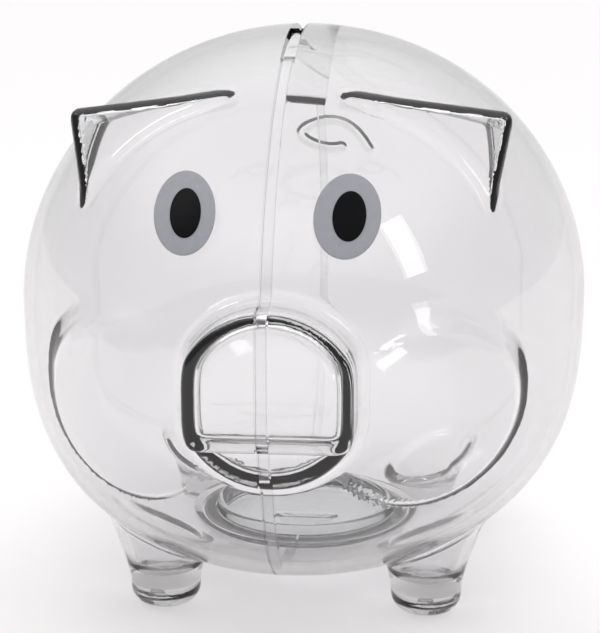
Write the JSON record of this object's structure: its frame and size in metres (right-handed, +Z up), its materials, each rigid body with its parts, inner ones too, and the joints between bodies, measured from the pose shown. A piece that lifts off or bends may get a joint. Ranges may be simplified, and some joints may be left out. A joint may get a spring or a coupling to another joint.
{
  "type": "piggy bank",
  "caption": "Clear moulded pig-shaped coin bank: two half shells joined on the mid-plane, coin slot along the back, pull-out belly plug, printed eyes.",
  "frame": {"origin": "on the floor under the middle of the whole object, at the height of the feet's flats", "axes": "+Z up, the pig faces -Y, +X is the pig's left side"},
  "size_m": [0.111, 0.1438, 0.1105],
  "materials": {
    "clear_shell": "clear polished styrene",
    "clear_plug": "clear soft vinyl",
    "eye_grey": "printed ink, satin",
    "pupil_black": "printed ink, gloss"
  },
  "bodies": {
    "bank": {"left_shell": "clear_shell", "right_shell": "clear_shell", "left_eye": "eye_grey", "right_eye": "eye_grey", "left_pupil": "pupil_black", "right_pupil": "pupil_black"},
    "plug": {"belly_plug": "clear_plug"}
  },
  "joints": [
    {"name": "plug_pull", "type": "slide", "parent": "bank", "child": "plug", "axis": [0, 0, -1], "range_m": [0, 0.04]}
  ]
}
